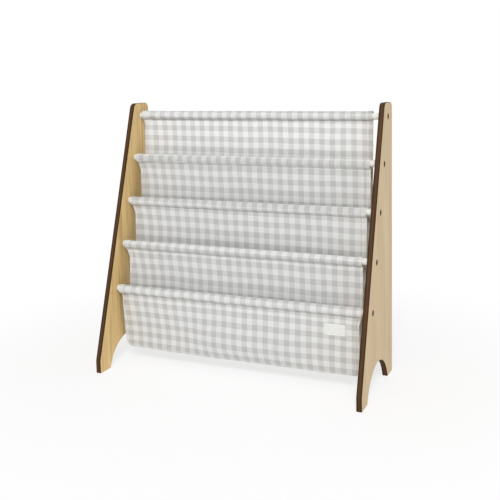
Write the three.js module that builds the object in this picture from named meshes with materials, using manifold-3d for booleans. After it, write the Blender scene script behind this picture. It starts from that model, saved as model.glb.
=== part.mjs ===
// Sling bookshelf for children: two side panels, five rods and a cloth sling with four open pockets.
// Millimetres, +Z up, +X to the right and -Y towards someone who stands in front of it.
// The origin is on the floor, under the middle of the shelf.

import * as THREE from 'three';
import { mergeVertices } from 'three/addons/utils/BufferGeometryUtils.js';
import Module from 'manifold-3d';

const wasm = await Module();
wasm.setup();

// Overall size and clearances
const overallWidth = 628;
const overallDepth = 254;
const overallHeight = 610;
const seatGap = 0.3;
const cutOverrun = 2;
const weldDistance = 0.0001;

// Side panels
const boardThickness = 12;
const edgeEase = 1;
const toeHeight = 30;
const frontFootLength = 42;
const backFootLength = 42;
const archRise = 62;
const topLength = 64;
const frontTopRadius = 16;
const backTopRadius = 14;
const shinRadius = 24;
const footRadius = 2.5;
const archSteps = 40;
const cornerSteps = 10;
const footSteps = 4;
const edgeSteps = 3;

// Rods
const rodDiameter = 15;
const rodCount = 5;
const topRodDrop = 30;
const bottomRodHeight = 180;
const rodSetback = 38;
const rodFacets = 48;

// Screws
const screwHeadDiameter = 12.5;
const screwHeadHeight = 3;
const screwHeadEase = 0.5;
const screwHeadInset = 0.4;
const screwShankDiameter = 5;
const screwLength = 45;
const screwTipLength = 4;
const screwTipDiameter = 2;
const pilotTipRoom = 0.6;
const socketAcrossFlats = 5;
const socketDepth = 2;
const screwFacets = 24;
const hexSides = 6;

// Cloth and sleeves
const clothThickness = 1.2;
const sleeveLeftGap = 6;
const sleeveRightGap = 18;
const topSleeveRightGap = 22;
const bottomSleeveRightGap = 10;
const seamHang = 4.2;
const topSeamHang = 1;
const seamAllowance = 1.8;
const sleeveSteps = 18;

// Pockets
const pocketDepth = 147;
const pocketLeftGap = 15;
const pocketRightGap = 18;
const drawInReach = 7;
const bottomDrawIn = 6;
const bottomDrawInReach = 10;
const waveHeight = 0.9;
const waveRiseLength = 60;
const waveCount = 2.5;
const wavePhaseShare = 0.31;
const turnReach = 20;
const sagSearchShares = [0.001, 10];
const sagSearchRounds = 60;
const pocketColumns = 14;
const armShares = [0, 0.02, 0.05, 0.1, 0.18, 0.3, 0.45, 0.62, 0.78, 0.88, 0.94, 0.97, 0.987, 1];

// Sewn label
const labelWidth = 46;
const labelHeight = 26;
const labelThickness = 0.8;
const labelRightInset = 48;
const labelDrop = 17.5;
const labelColumns = 6;
const labelRows = 3;

// Places worked out from the driving sizes
const front = -overallDepth / 2;
const back = overallDepth / 2;
const outerFace = overallWidth / 2;
const innerFace = outerFace - boardThickness;
const rodRadius = rodDiameter / 2;
const sleeveInner = rodRadius + seatGap;
const halfTail = clothThickness + seatGap / 2;
const shankRadius = screwShankDiameter / 2;
const screwHeadRadius = screwHeadDiameter / 2;
const headBottom = screwHeadInset + screwHeadHeight;

// The slanted front edge of a side panel, as a depth at each height
function frontEdgeAt(height) {
  const rise = (height - toeHeight) / (overallHeight - toeHeight);
  return front + (overallDepth - topLength) * rise;
}

// Rods are counted from the top one down. The sleeve's seam lies seamDrop below a rod's axis.
const rods = Array.from({ length: rodCount }, (_, index) => {
  const [first, last] = [index === 0, index === rodCount - 1];
  const z = THREE.MathUtils.lerp(overallHeight - topRodDrop, bottomRodHeight, index / (rodCount - 1));
  const rightGap = first ? topSleeveRightGap : last ? bottomSleeveRightGap : sleeveRightGap;
  return {
    z,
    y: frontEdgeAt(z) + rodSetback,
    seamDrop: sleeveInner + (first ? topSeamHang : seamHang),
    left: -innerFace + sleeveLeftGap,
    right: innerFace - rightGap,
  };
});

// Materials
const materials = {
  board: new THREE.MeshStandardMaterial({ color: 0xc9b08c, roughness: 0.55, metalness: 0 }),
  rod: new THREE.MeshStandardMaterial({ color: 0xf2efe6, roughness: 0.45, metalness: 0 }),
  cloth: new THREE.MeshStandardMaterial({ color: 0xdad8d4, roughness: 0.9, metalness: 0 }),
  screw: new THREE.MeshStandardMaterial({ color: 0x4a3828, roughness: 0.4, metalness: 0.8 }),
  label: new THREE.MeshStandardMaterial({ color: 0xf1efe6, roughness: 0.8, metalness: 0 }),
};

// A closed mesh becomes a solid once its shared corners are merged and collapsed triangles are dropped
function toSolid(geometry) {
  const bare = new THREE.BufferGeometry();
  bare.setAttribute('position', geometry.getAttribute('position'));
  bare.setIndex(geometry.getIndex());
  const merged = mergeVertices(bare, weldDistance);
  const corners = merged.getIndex().array;
  const kept = [];
  for (let i = 0; i < corners.length; i += 3) {
    const [a, b, c] = [corners[i], corners[i + 1], corners[i + 2]];
    if (a !== b && b !== c && c !== a) kept.push(a, b, c);
  }
  return new wasm.Manifold(new wasm.Mesh({
    numProp: 3,
    vertProperties: new Float32Array(merged.getAttribute('position').array),
    triVerts: new Uint32Array(kept),
  }));
}

function toGeometry(solid) {
  const mesh = solid.getMesh();
  const geometry = new THREE.BufferGeometry();
  geometry.setAttribute('position', new THREE.BufferAttribute(mesh.vertProperties, mesh.numProp));
  geometry.setIndex(new THREE.BufferAttribute(mesh.triVerts, 1));
  geometry.computeVertexNormals();
  return geometry;
}

function cutAll(geometry, cutters) {
  return toGeometry(cutters.reduce((solid, cutter) => solid.subtract(toSolid(cutter)), toSolid(geometry)));
}

// Shapes are drawn as depth and height, and extruded along X
function extrudeAlongX(shape, length, options) {
  const geometry = new THREE.ExtrudeGeometry(shape, { depth: length, steps: 1, ...options });
  const toYZX = new THREE.Matrix4().makeBasis(
    new THREE.Vector3(0, 1, 0), new THREE.Vector3(0, 0, 1), new THREE.Vector3(1, 0, 0));
  return geometry.applyMatrix4(toYZX);
}

function cylinderAlongX(radius, startX, endX, facets) {
  const geometry = new THREE.CylinderGeometry(radius, radius, Math.abs(endX - startX), facets);
  geometry.rotateZ(-Math.PI / 2);
  return geometry.translate((startX + endX) / 2, 0, 0);
}

// Points of an arc, both ends included
function arcPoints(centre, radius, startAngle, endAngle, steps) {
  return Array.from({ length: steps + 1 }, (_, i) => {
    const angle = startAngle + (endAngle - startAngle) * (i / steps);
    return new THREE.Vector2(centre.x + radius * Math.cos(angle), centre.y + radius * Math.sin(angle));
  });
}

// The arc that rounds a corner of an outline
function roundedCorner(before, corner, after, radius, steps) {
  const toBefore = before.clone().sub(corner).normalize();
  const toAfter = after.clone().sub(corner).normalize();
  const halfAngle = Math.acos(toBefore.dot(toAfter)) / 2;
  const middle = toBefore.clone().add(toAfter).normalize();
  const centre = corner.clone().addScaledVector(middle, radius / Math.sin(halfAngle));
  const tangentLength = radius / Math.tan(halfAngle);
  const start = corner.clone().addScaledVector(toBefore, tangentLength).sub(centre).angle();
  const end = corner.clone().addScaledVector(toAfter, tangentLength).sub(centre).angle();
  const turn = Math.atan2(Math.sin(end - start), Math.cos(end - start));
  return arcPoints(centre, radius, start, start + turn, steps);
}

// Outline of a side panel: slanted front, short toe and an arch between the feet
function panelOutline() {
  const corner = (y, z, radius, steps) => ({ point: new THREE.Vector2(y, z), radius, steps });
  const outline = [
    corner(front, 0, footRadius, footSteps),
    corner(front + frontFootLength, 0, footRadius, footSteps),
    ...archCurve().slice(1, -1).map((point) => ({ point })),
    corner(back - backFootLength, 0, footRadius, footSteps),
    corner(back, 0, footRadius, footSteps),
    corner(back, overallHeight, backTopRadius, cornerSteps),
    corner(back - topLength, overallHeight, frontTopRadius, cornerSteps),
    corner(front, toeHeight, shinRadius, cornerSteps),
  ];
  return outline.flatMap(({ point, radius, steps }, index) => {
    const [before, after] = [outline.at(index - 1), outline.at((index + 1) % outline.length)];
    return radius ? roundedCorner(before.point, point, after.point, radius, steps) : [point];
  });
}

// The arch is one circular arc over the chord between the feet
function archCurve() {
  const halfChord = (overallDepth - frontFootLength - backFootLength) / 2;
  const radius = (halfChord ** 2 + archRise ** 2) / (2 * archRise);
  const centre = new THREE.Vector2(front + frontFootLength + halfChord, archRise - radius);
  const half = 2 * Math.atan(archRise / halfChord);
  return arcPoints(centre, radius, Math.PI / 2 + half, Math.PI / 2 - half, archSteps);
}

// Side panel round the middle of its board. The side is 1 on the right and -1 on the left.
function panelSolid(side) {
  const panel = extrudeAlongX(new THREE.Shape(panelOutline()), boardThickness - 2 * edgeEase, {
    bevelEnabled: true,
    bevelThickness: edgeEase,
    bevelSize: edgeEase,
    bevelOffset: -edgeEase,
    bevelSegments: edgeSteps,
  });
  panel.translate(edgeEase - boardThickness / 2, 0, 0);
  return cutAll(panel, rods.flatMap(({ y, z }) => screwHoles(side).map((hole) => hole.translate(0, y, z))));
}

// A counterbore for the head and a clearance hole for the shank, by their depths from the outer face
function screwHoles(side) {
  const hole = (radius, ...depths) => {
    const [start, end] = depths.map((depth) => side * (boardThickness / 2 - depth));
    return cylinderAlongX(radius, start, end, screwFacets);
  };
  return [
    hole(screwHeadRadius + seatGap, -cutOverrun, headBottom + seatGap),
    hole(shankRadius + seatGap, 0, boardThickness + cutOverrun),
  ];
}

// Rod with a pilot hole in each end
function rodSolid() {
  const end = innerFace - seatGap;
  const holeEnd = outerFace - headBottom - screwLength - pilotTipRoom;
  const pilot = (side) =>
    cylinderAlongX(shankRadius + seatGap, side * holeEnd, side * (end + cutOverrun), screwFacets);
  return cutAll(cylinderAlongX(rodRadius, -end, end, rodFacets), [pilot(-1), pilot(1)]);
}

// Flat-headed screw with a hexagon socket. Its axis is Y and the top of its head is at the origin.
function screwSolid() {
  const tipStart = screwHeadHeight + screwLength - screwTipLength;
  const profile = [
    [0, 0],
    [screwHeadRadius - screwHeadEase, 0],
    [screwHeadRadius, screwHeadEase],
    [screwHeadRadius, screwHeadHeight],
    [shankRadius, screwHeadHeight],
    [shankRadius, tipStart],
    [screwTipDiameter / 2, screwHeadHeight + screwLength],
    [0, screwHeadHeight + screwLength],
  ].map(([radius, along]) => new THREE.Vector2(radius, along));
  const body = new THREE.LatheGeometry(profile, screwFacets);
  const socketRadius = socketAcrossFlats / Math.sqrt(3);
  const socket = new THREE.CylinderGeometry(socketRadius, socketRadius, socketDepth + cutOverrun, hexSides);
  socket.translate(0, (socketDepth - cutOverrun) / 2, 0);
  return cutAll(body, [socket]);
}

// Heights of a sleeve's tail, where its two layers of cloth lie flat together, from the rod's axis
function tailOf(rod) {
  const slope = Math.tan(Math.asin(sleeveInner / rod.seamDrop));
  const outerDrop = rod.seamDrop * (1 + clothThickness / sleeveInner);
  const top = halfTail / slope - outerDrop;
  return { top, bottom: top - seamAllowance };
}

// Sleeve: a drop-shaped tube of cloth round its rod's axis, closed by its tail
function sleeveSolid(rod) {
  const tangentAngle = Math.acos(sleeveInner / rod.seamDrop);
  const down = -Math.PI / 2;
  const axis = new THREE.Vector2();
  const ring = (radius) =>
    arcPoints(axis, radius, down + tangentAngle, down + 2 * Math.PI - tangentAngle, sleeveSteps);
  const tail = tailOf(rod);
  const shape = new THREE.Shape([
    ...ring(sleeveInner + clothThickness),
    new THREE.Vector2(-halfTail, tail.top),
    new THREE.Vector2(-halfTail, tail.bottom),
    new THREE.Vector2(halfTail, tail.bottom),
    new THREE.Vector2(halfTail, tail.top),
  ]);
  shape.holes.push(new THREE.Path([...ring(sleeveInner), new THREE.Vector2(0, -rod.seamDrop)]));
  return extrudeAlongX(shape, rod.right - rod.left, { bevelEnabled: false });
}

// A hanging strip takes the shape of a catenary. This finds its parameter by halving.
function catenaryParameter(span, firstHeight, secondHeight) {
  const spanOf = (a) => a * (Math.acosh(1 + firstHeight / a) + Math.acosh(1 + secondHeight / a));
  let [low, high] = sagSearchShares.map((share) => span * share);
  for (let round = 0; round < sagSearchRounds; round++) {
    const middle = (low + high) / 2;
    if (spanOf(middle) < span) low = middle;
    else high = middle;
  }
  return (low + high) / 2;
}

// The run of one pocket panel between its two rods, measured along the cloth from its lowest line.
// Distances are positive up the back and negative up the front.
function pocketRun(index) {
  const [upper, lower] = [rods[index], rods[index + 1]];
  const tailStep = (clothThickness + seatGap) / 2;
  const backTop = { y: upper.y - tailStep, z: upper.z + tailOf(upper).bottom - seatGap };
  const frontTop = { y: lower.y + tailStep, z: lower.z + tailOf(lower).bottom - seatGap };
  const bottom = lower.z - pocketDepth + clothThickness / 2;
  const a = catenaryParameter(backTop.y - frontTop.y, backTop.z - bottom, frontTop.z - bottom);
  const along = (height) => Math.sqrt((height + a) ** 2 - a ** 2);
  return {
    index, upper, lower, a, bottom, along,
    middle: frontTop.y + a * Math.acosh(1 + (frontTop.z - bottom) / a),
    backLength: along(backTop.z - bottom),
    frontLength: along(frontTop.z - bottom),
  };
}

function distanceFromSeam(run, s) {
  return s > 0 ? run.backLength - s : run.frontLength + s;
}

// Long soft waves across the cloth. They fade out at the seams, and the two layers that hang from one
// rod wave together, so the phase turns over smoothly at the bottom of each pocket.
function waveAt(run, x, s) {
  const fade = THREE.MathUtils.smoothstep(distanceFromSeam(run, s), 0, waveRiseLength);
  const rodNumber = run.index + (1 - Math.tanh(s / turnReach)) / 2;
  const turns = waveCount * (x / overallWidth) + wavePhaseShare * rodNumber;
  return waveHeight * fade * Math.sin(2 * Math.PI * turns);
}

// A point of the cloth's middle surface, from the pocket's lowest line, and the direction outwards there
function clothPoint(run, x, s) {
  const hypotenuse = Math.sqrt(run.a ** 2 + s ** 2);
  const y = run.a * Math.asinh(s / run.a) + waveAt(run, x, s);
  return {
    point: new THREE.Vector3(x, y, hypotenuse - run.a),
    outward: new THREE.Vector3(0, s / hypotenuse, -run.a / hypotenuse),
  };
}

// The side edges draw in below the sleeves and a little at the bottom
function pocketEdges(run, s) {
  const sleeve = s > 0 ? run.upper : run.lower;
  const settle = 1 - Math.exp(-distanceFromSeam(run, s) / drawInReach);
  const atBottom = bottomDrawIn * Math.exp(-((s / bottomDrawInReach) ** 2));
  const left = THREE.MathUtils.lerp(sleeve.left, -innerFace + pocketLeftGap, settle) + atBottom;
  const right = THREE.MathUtils.lerp(sleeve.right, innerFace - pocketRightGap, settle) - atBottom;
  return [left, right];
}

// A closed solid of even thickness round a grid of points. pointAt gives the place and its outward side.
function sheetSolid(columns, rows, pointAt, thickness, offset = 0) {
  const positions = [];
  const indices = [];
  const number = (layer, row, column) => (layer * (rows + 1) + row) * (columns + 1) + column;
  const quad = (a, b, c, d) => indices.push(a, b, c, a, c, d);
  for (const layer of [1, -1]) {
    for (let row = 0; row <= rows; row++) {
      for (let column = 0; column <= columns; column++) {
        const { point, outward } = pointAt(row, column);
        positions.push(...point.addScaledVector(outward, offset + layer * thickness / 2));
      }
    }
  }
  for (let row = 0; row < rows; row++) {
    for (let column = 0; column < columns; column++) {
      const at = (layer, down, across) => number(layer, row + down, column + across);
      quad(at(0, 0, 0), at(0, 0, 1), at(0, 1, 1), at(0, 1, 0));
      quad(at(1, 0, 0), at(1, 1, 0), at(1, 1, 1), at(1, 0, 1));
    }
  }
  for (let column = 0; column < columns; column++) {
    quad(number(0, 0, column), number(1, 0, column), number(1, 0, column + 1), number(0, 0, column + 1));
    const [near, far] = [number(0, rows, column), number(0, rows, column + 1)];
    quad(near, far, number(1, rows, column + 1), number(1, rows, column));
  }
  for (let row = 0; row < rows; row++) {
    quad(number(0, row, 0), number(0, row + 1, 0), number(1, row + 1, 0), number(1, row, 0));
    const [near, far] = [number(0, row, columns), number(0, row + 1, columns)];
    quad(near, number(1, row, columns), number(1, row + 1, columns), far);
  }
  const geometry = new THREE.BufferGeometry();
  geometry.setAttribute('position', new THREE.Float32BufferAttribute(positions, 3));
  geometry.setIndex(indices);
  geometry.computeVertexNormals();
  return geometry;
}

// Rows of a pocket panel: down the back from its seam, round the bottom and up the front
function pocketSolid(run) {
  const down = armShares.map((share) => run.backLength * (1 - share));
  const up = armShares.slice(0, -1).reverse().map((share) => -run.frontLength * (1 - share));
  const stations = [...down, ...up];
  return sheetSolid(pocketColumns, stations.length - 1, (row, column) => {
    const [left, right] = pocketEdges(run, stations[row]);
    return clothPoint(run, THREE.MathUtils.lerp(left, right, column / pocketColumns), stations[row]);
  }, clothThickness);
}

// The label lies on the front of its pocket
function labelSolid(run) {
  const top = run.lower.z + tailOf(run.lower).bottom - labelDrop - run.bottom;
  const right = innerFace - labelRightInset;
  const offset = (clothThickness + labelThickness) / 2 + seatGap;
  return sheetSolid(labelColumns, labelRows, (row, column) => {
    const x = right - labelWidth * (1 - column / labelColumns);
    const height = top - labelHeight * (1 - row / labelRows);
    return clothPoint(run, x, -run.along(height));
  }, labelThickness, offset);
}

// Assembly: the panels, a group on each rod's axis and a group at each pocket's lowest line
const group = new THREE.Group();
const sides = { left: -1, right: 1 };

function addPiece(parent, name, geometry, material, x = 0) {
  const mesh = new THREE.Mesh(geometry, material);
  mesh.name = name;
  mesh.position.x = x;
  parent.add(mesh);
  return mesh;
}

function addGroup(y, z) {
  const place = new THREE.Group();
  place.position.set(0, y, z);
  group.add(place);
  return place;
}

for (const [name, side] of Object.entries(sides)) {
  const middle = side * (outerFace - boardThickness / 2);
  addPiece(group, `side_panel_${name}`, panelSolid(side), materials.board, middle);
}

rods.forEach((rod, index) => {
  const place = addGroup(rod.y, rod.z);
  addPiece(place, `rod_${index + 1}`, rodSolid(), materials.rod);
  addPiece(place, `sleeve_${index + 1}`, sleeveSolid(rod), materials.cloth, rod.left);
  for (const [name, side] of Object.entries(sides)) {
    const head = side * (outerFace - screwHeadInset);
    const screw = addPiece(place, `screw_${name}_${index + 1}`, screwSolid(), materials.screw, head);
    screw.rotation.z = side * Math.PI / 2;
  }
});

rods.slice(1).forEach((_, index) => {
  const run = pocketRun(index);
  const place = addGroup(run.middle, run.bottom);
  addPiece(place, `pocket_${index + 1}`, pocketSolid(run), materials.cloth);
  if (index === rods.length - 2) addPiece(place, 'sewn_label', labelSolid(run), materials.label);
});

export default group;
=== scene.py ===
import math
from collections import namedtuple

import bmesh
import bpy
from mathutils import Matrix, Vector, noise


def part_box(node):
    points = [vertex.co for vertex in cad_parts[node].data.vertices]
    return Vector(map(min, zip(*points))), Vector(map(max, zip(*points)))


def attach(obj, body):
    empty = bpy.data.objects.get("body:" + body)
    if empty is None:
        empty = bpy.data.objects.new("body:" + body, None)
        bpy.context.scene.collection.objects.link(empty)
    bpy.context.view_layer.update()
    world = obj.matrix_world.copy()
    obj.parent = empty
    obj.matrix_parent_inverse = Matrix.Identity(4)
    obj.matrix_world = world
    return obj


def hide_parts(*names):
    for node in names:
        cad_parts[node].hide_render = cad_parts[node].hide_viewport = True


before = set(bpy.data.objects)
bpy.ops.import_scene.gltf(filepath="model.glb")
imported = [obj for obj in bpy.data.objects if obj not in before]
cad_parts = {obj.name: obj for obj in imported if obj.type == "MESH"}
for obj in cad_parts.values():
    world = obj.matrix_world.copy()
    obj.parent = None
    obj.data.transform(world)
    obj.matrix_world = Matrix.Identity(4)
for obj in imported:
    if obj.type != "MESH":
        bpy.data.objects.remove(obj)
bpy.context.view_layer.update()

# Looks of a sling bookshelf for children. Metres, +Z up, and -Y towards someone in front of the shelf.
MM = 0.001
BODY = "root"
ROD_COUNT = 5

# The solids' own cloth, to find the cloth's middle from a pocket's box
SOLID_CLOTH = 1.2 * MM

# Cloth
CLOTH_THICKNESS = 0.4 * MM
LAYER_STEP = 0.45 * MM
SEAM_SLIT = 0.1 * MM
TAIL_STEP = 0.35 * MM
TAIL_HEIGHT = 1.8 * MM
SLEEVE_SLACK = 0.3 * MM
SLEEVE_RADIUS = 9.3 * MM
TOP_SLEEVE_SLACK = 3 * MM
TOP_SLEEVE_RADIUS = 9.8 * MM
SLEEVE_STEPS = 52
SLEEVE_ARC_STEPS = 36
SLEEVE_ROUNDING = 2
CORNER_CUT = 0.25

# Hems are folded twice, onto the side of the cloth that faces the books
HEM_WIDTH = 11 * MM
HEM_TURN = 7 * MM
HEM_FLAT_STEP = 2.4 * MM
HEM_FOLD_STEPS = 6
HEM_TURN_STEPS = 4

# Side edges: settled places, and how they flow out to the sleeves' ends
POCKET_LEFT_GAP = 15 * MM
POCKET_RIGHT_GAP = 18 * MM
EDGE_FLOW_START = -12 * MM
EDGE_FLOW_END = 21 * MM
LEFT_SPREAD = 5 * MM
LEFT_SPREAD_SHARE = 0.3
TOP_RIGHT_DRAW_IN = 3 * MM
BOTTOM_DRAW_IN = 4 * MM
BOTTOM_DRAW_REACH = 10 * MM
FLARE_REACH = 38 * MM

# Waves, puckers at the seams and soft dents of the cloth
WAVE_HEIGHT = 0.9 * MM
WAVE_RISE = 60 * MM
WAVE_COUNT = 2.5
WAVE_PHASE_SHARE = 0.31
TURN_REACH = 20 * MM
PUCKER_HEIGHT = 1 * MM
PUCKER_PEAK = 6 * MM
PUCKER_SPACING = 13 * MM
PUCKER_LEAN = 0.35
SLEEVE_PUCKER_LEAN = 0.3
SLEEVE_PUCKER_SHARE = 0.8
RUFFLE_COARSE = 1.5
RUFFLE_FINE = 0.7
RUFFLE_FINE_SCALE = 2.3
DENT_HEIGHT = 1.1 * MM
DENT_SPACING = 85 * MM
DENT_RISE = 45 * MM
WRINKLE_HEIGHT = 0.4 * MM
WRINKLE_SPACING = 24 * MM
WRINKLE_SLANT = 0.5
WRINKLE_STRETCH = 3
CRUMPLE_HEIGHT = 0.35 * MM
CRUMPLE_WIDTH = 17 * MM
CRUMPLE_LENGTH = 9 * MM
CRUMPLE_RISE = 4 * MM
SLEEVE_ON_ROD_START = 0.45
SLEEVE_ON_ROD_END = 0.9
BOTTOM_DROOP = 1.6 * MM
BOTTOM_DROOP_REACH = 16 * MM
BOTTOM_DROOP_SPACING = 90 * MM
BOTTOM_LEFT_LIFT = 3 * MM
BOTTOM_LEFT_REACH = 140 * MM

# Places in the noise field, so that each rod and each pocket has its own unevenness
RUFFLE_SEED = 7.3
DENT_SEED = 5.1
WRINKLE_SEED = 2.9
CRUMPLE_SEED = 3.3
DROOP_SEED = 3.7
COLUMN_SEED = 9.0
ROW_SEED = 29.0

# The front of the lowest pocket bellies out: forward in the middle, and a little back at the left
BELLY_HEIGHT = 5 * MM
BELLY_LEFT_SHARE = -0.7
BELLY_RISE = (-165 * MM, -40 * MM)
BELLY_FALL = (0, 260 * MM)
BELLY_TOP = (10 * MM, 90 * MM)
BELLY_LOW = 100 * MM
BELLY_COLUMN_PULL = -3 * MM
BELLY_ROW_PULL = 2.3 * MM

# Search for a pocket's catenary, between a parameter far below its span and one far above
CATENARY_DEEPEST = 1000
CATENARY_SHALLOWEST = 10
CATENARY_HALVINGS = 60

# Grid of a pocket panel
COLUMN_STEP = 2.8 * MM
ROW_STEP_AT_FOLD = 0.7 * MM
ROW_STEP_LARGEST = 2.8 * MM
ROW_STEP_GROWTH_SHARE = 0.07

# Gingham: one period holds a coloured and a white band, each of as many threads
CHECK_PERIOD = 25 * MM
THREADS_PER_PERIOD = 48
CRISP_SHARE = 0.45
WARP_SHADE_SEED = 0.5
WEFT_SHADE_SEED = 700.5
SLUB_SCALE = 1500
SLUB_STRETCH = 0.06
WARP_SHIFT = 1.4 * MM
WARP_SPACING = 75 * MM
LEAN_REACH = 60 * MM

# Thin cotton lets light through, so the cloth with nothing behind it looks brightest
CLOTH_GLOW = 0.75
CLOTH_GLOW_REACH = 1.5 * MM

# Where the coloured bands lie on the cloth at each rod, from the top one down. Columns are measured across
# from the shelf's middle and rows down from the seam, both at the rod's left and right ends. Below the
# seam the columns lean to the right by left_lean at the left edge, and not at all at the right one. The
# stitching draws the rows down by seam_pull close to the seam.
Checks = namedtuple("Checks", "left_column right_column left_lean left_row right_row seam_pull")
CHECKS = [
    Checks(-10 * MM, -11.2 * MM, 2 * MM, 17.4 * MM, 22 * MM, 2.5 * MM),
    Checks(-0.5 * MM, -0.8 * MM, 5.5 * MM, 6.3 * MM, 8.1 * MM, 0),
    Checks(1.3 * MM, 1.9 * MM, 4.5 * MM, -0.6 * MM, 3.6 * MM, 0),
    Checks(-3.9 * MM, -2.6 * MM, 6.5 * MM, 11.2 * MM, 13.6 * MM, 0),
    Checks(-3.6 * MM, -1.8 * MM, 2.5 * MM, 19.6 * MM, 21.2 * MM, 5 * MM),
]
SEAM_PULL_ABOVE = 14 * MM
SEAM_PULL_BELOW = (6 * MM, 15 * MM)

# Stitches
STITCH_LENGTH = 2.6 * MM
STITCH_PITCH = 3.4 * MM
THREAD_RADIUS = 0.2 * MM
STITCH_SIDES = 6
STITCH_RISE = 0.16 * MM
STITCH_SINK = 0.12 * MM
STITCH_SHOULDER_PLACE = 0.3
STITCH_SHOULDER_SHARE = 0.8
SEAM_STITCH_HEIGHT = 0.9 * MM
HEM_STITCH_INSET = 1.6 * MM
HEM_STITCH_START = 2 * MM

# Label
LABEL_THICKNESS = 0.5 * MM
LABEL_LIFT = 0.3 * MM
LABEL_BORDER = 1.6 * MM
LABEL_BORDER_FALL = (0.8 * LABEL_BORDER, 1.2 * LABEL_BORDER)
LABEL_BORDER_RISE = 0.15 * MM
LABEL_STITCH_INSET = 1.9 * MM
LABEL_STEP = 0.5 * MM
LABEL_RIB = 0.28 * MM
LABEL_YARN = 0.4 * MM

# Copies of the CAD's surfaces, and small roundings of the boards' and the screws' edges
WELD_DISTANCE = 0.001 * MM
FLAT_ANGLE = math.radians(0.5)
SHARP_ANGLE = math.radians(35)
BOARD_FACE_NORMAL = 0.8
BOARD_EASING = 0.9 * MM
BOARD_EASING_STEPS = 3
SCREW_EASING = 0.18 * MM
SCREW_EASING_STEPS = 2

# Where most values of a noise texture lie, and how strongly streaks show on the boards' faces
NOISE_RANGE = (0.3, 0.7)
OUTER_STREAKS = 0.55
INNER_STREAKS = 0.75

# Camera, fitted to the photograph's frame
IMAGE_SIDE = 500
FOCAL_LENGTH_PIXELS = 819.8
PRINCIPAL_PIXEL = (250.0, 165.1)
SENSOR_WIDTH = 36
CAMERA_PLACE = (0.7415, -1.6525, 0.6841)
CAMERA_TURN = math.radians(23.407)
CAMERA_PITCH = math.radians(6.581)
CAMERA_ROLL = math.radians(-1.144)

# Light, floor and background
SKY_STRENGTH = 0.47
KEY_POWER = 230
KEY_PLACE = (1.7, -4.35, 3.95)
KEY_SIZE = 1.5
FLOOR_SIZE = 16
FLOOR_FADE_START = 0.35
FLOOR_FADE_END = 0.95
FLOOR_GLOW_SHARE = 0.7


def lerp(first, second, share):
    return first + (second - first) * share


def smoothstep(value, low, high):
    share = min(max((value - low) / (high - low), 0), 1)
    return share * share * (3 - 2 * share)


def srgb(red, green, blue):
    """A colour given as eight-bit sRGB values, as a linear RGBA tuple."""
    def linear(value):
        share = value / 255
        return share / 12.92 if share <= 0.04045 else ((share + 0.055) / 1.055) ** 2.4
    return (linear(red), linear(green), linear(blue), 1)


def add_object(name, mesh, material):
    """A piece of the shelf, with its material and its body."""
    piece = bpy.data.objects.new(name, mesh)
    bpy.context.scene.collection.objects.link(piece)
    mesh.materials.append(material)
    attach(piece, BODY)
    return piece


class Nodes:
    """A node tree that is built up one call at a time."""

    def __init__(self, tree):
        self.tree = tree

    def add(self, kind, **settings):
        node = self.tree.nodes.new(kind)
        for name, value in settings.items():
            setattr(node, name, value)
        return node

    def feed(self, socket, value):
        if isinstance(value, bpy.types.NodeSocket):
            self.tree.links.new(value, socket)
        else:
            socket.default_value = value

    def feed_all(self, sockets, *values):
        for socket, value in zip(sockets, values):
            self.feed(socket, value)

    def fill(self, node, **values):
        """Feeds a node's inputs by their names."""
        for name, value in values.items():
            self.feed(node.inputs[name], value)
        return node.outputs[0]

    def maths(self, operation, *values):
        node = self.add("ShaderNodeMath", operation=operation)
        self.feed_all(node.inputs, *values)
        return node.outputs[0]

    def plus(self, first, second):
        return self.maths("ADD", first, second)

    def minus(self, first, second):
        return self.maths("SUBTRACT", first, second)

    def times(self, first, second):
        return self.maths("MULTIPLY", first, second)

    def mixed_shaders(self, share, first, second):
        node = self.add("ShaderNodeMixShader")
        self.feed_all(node.inputs, share, first, second)
        return node.outputs[0]

    def seen_rays(self):
        """1 for rays of the camera, of reflections and of clear materials, and 0 for the rest."""
        path = self.add("ShaderNodeLightPath")
        seen = self.maths("MAXIMUM", path.outputs["Is Camera Ray"], path.outputs["Is Glossy Ray"])
        return self.maths("MAXIMUM", seen, path.outputs["Is Transmission Ray"])


class NodeMaterial(Nodes):
    """A material, made of the nodes of its colour, its relief and its gloss."""

    def __init__(self, name):
        self.material = bpy.data.materials.new(name)
        self.material.use_nodes = True
        super().__init__(self.material.node_tree)
        self.shader = self.tree.nodes["Principled BSDF"]

    def blend(self, factor, first, second, blend_type="MIX"):
        """Two colours in one. The node's sockets for colours are its inputs 6 and 7 and its output 2."""
        node = self.add("ShaderNodeMix", data_type="RGBA", blend_type=blend_type)
        self.feed(node.inputs["Factor"], factor)
        self.feed_all(node.inputs[6:8], first, second)
        return node.outputs[2]

    def remap(self, value, low, high, to_low=0.0, to_high=1.0, smooth=True):
        kind = "SMOOTHSTEP" if smooth else "LINEAR"
        node = self.add("ShaderNodeMapRange", interpolation_type=kind)
        self.feed_all(node.inputs, value, low, high, to_low, to_high)
        return node.outputs[0]

    def object_place(self):
        return self.add("ShaderNodeTexCoord").outputs["Object"]

    def weave_place(self):
        return self.add("ShaderNodeUVMap", uv_map="weave").outputs[0]

    def parts(self, vector):
        node = self.add("ShaderNodeSeparateXYZ")
        self.feed(node.inputs[0], vector)
        return node.outputs

    def stretched(self, vector, scale):
        return self.fill(self.add("ShaderNodeMapping"), Vector=vector, Scale=scale)

    def noise(self, vector, scale, detail=2.0, roughness=0.5, distortion=0.0):
        node = self.add("ShaderNodeTexNoise")
        self.fill(node, Vector=vector, Scale=scale, Detail=detail)
        return self.fill(node, Roughness=roughness, Distortion=distortion)

    def bump(self, height, distance, strength):
        return self.fill(self.add("ShaderNodeBump"), Strength=strength, Distance=distance, Height=height)

    def set(self, name, value):
        self.feed(self.shader.inputs[name], value)


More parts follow.
